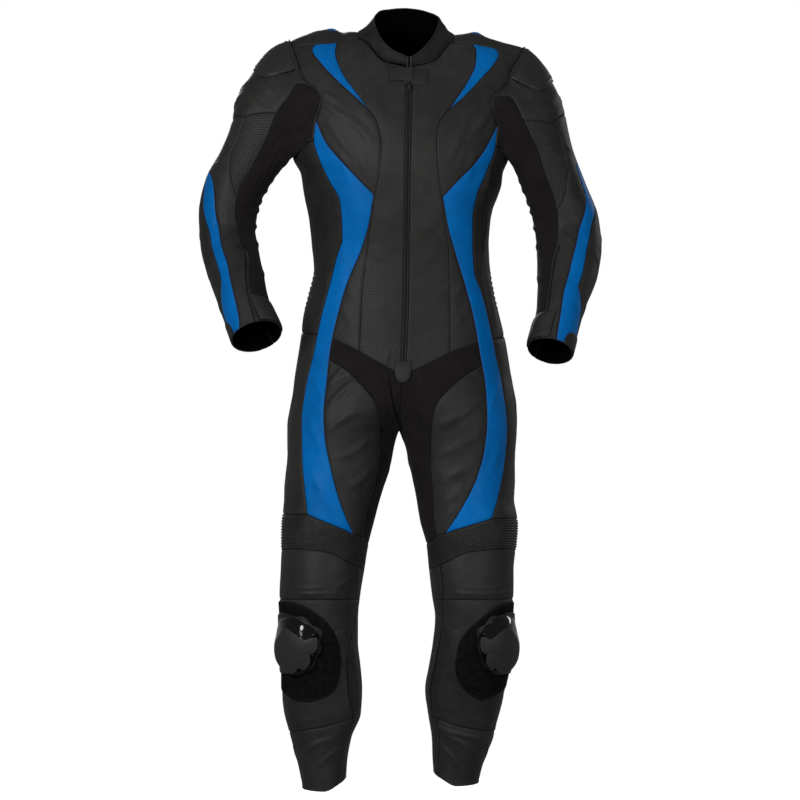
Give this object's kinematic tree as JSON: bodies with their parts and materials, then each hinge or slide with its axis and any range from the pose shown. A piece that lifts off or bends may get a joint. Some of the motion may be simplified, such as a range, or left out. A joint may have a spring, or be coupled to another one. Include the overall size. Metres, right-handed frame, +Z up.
{
  "type": "motorcycle race suit",
  "caption": "One-piece leather motorcycle race suit in worn form, with stretch panels, knee sliders, shoulder cups, a front zip and an empty hollow body.",
  "frame": {"origin": "between the shoulders at the base of the neck, where the wearer's shoulders hold the suit", "axes": "+Z up, -Y the wearer's front, +X the wearer's left"},
  "size_m": [0.7204, 0.2989, 1.4156],
  "materials": {
    "black_leather": "smooth satin grain",
    "perforated_leather": "satin, fine perforations",
    "blue_leather": "smooth, slight gloss",
    "stretch_fabric": "matt knit",
    "hook_pad": "matt hook-and-loop pile",
    "slider_plastic": "satin face, gloss sides",
    "cup_plastic": "satin, moulded over a cup",
    "zip_tape": "matt woven tape",
    "zip_metal": "dark satin"
  },
  "bodies": {
    "suit": {"front_centre_right": "perforated_leather", "front_centre_left": "perforated_leather", "crescent_right": "blue_leather", "crescent_left": "blue_leather", "chest_right": "black_leather", "chest_left": "black_leather", "belly_right": "black_leather", "belly_left": "black_leather", "blue_side_right": "blue_leather", "blue_side_left": "blue_leather", "side_right": "perforated_leather", "side_left": "perforated_leather", "outer_thigh_right": "black_leather", "outer_thigh_left": "black_leather", "stretch_right": "stretch_fabric", "stretch_left": "stretch_fabric", "thigh_right": "black_leather", "thigh_left": "black_leather", "accordion_right": "black_leather", "accordion_left": "black_leather", "knee_right": "black_leather", "knee_left": "black_leather", "shin_right": "black_leather", "shin_left": "black_leather", "ankle_right": "black_leather", "ankle_left": "black_leather", "seat_right": "black_leather", "seat_left": "black_leather", "calf_right": "black_leather", "calf_left": "black_leather", "arm_stretch_right": "stretch_fabric", "arm_stretch_left": "stretch_fabric", "upper_arm_right": "black_leather", "upper_arm_left": "black_leather", "arm_grid_right": "perforated_leather", "arm_grid_left": "perforated_leather", "forearm_right": "black_leather", "forearm_left": "black_leather", "blue_stripe_right": "blue_leather", "blue_stripe_left": "blue_leather", "elbow_right": "black_leather", "elbow_left": "black_leather", "knee_patch_right": "hook_pad", "knee_patch_left": "hook_pad", "knee_slider_right": "slider_plastic", "knee_slider_left": "slider_plastic", "shoulder_cup_right": "cup_plastic", "shoulder_cup_left": "cup_plastic", "cuff_right": "black_leather", "cuff_left": "black_leather", "back": "black_leather", "yoke": "black_leather", "collar": "black_leather", "zip": "zip_tape", "collar_tab": "black_leather", "zip_end_tab": "black_leather", "zip_slider": "zip_metal"},
    "pull": {"zip_pull": "zip_metal"}
  },
  "joints": [
    {"name": "pull_hinge", "type": "hinge", "parent": "suit", "child": "pull", "pos_m": [0.00886, -0.09538, -0.08076], "axis": [-1, 0, 0], "range_deg": [0, 150]}
  ]
}
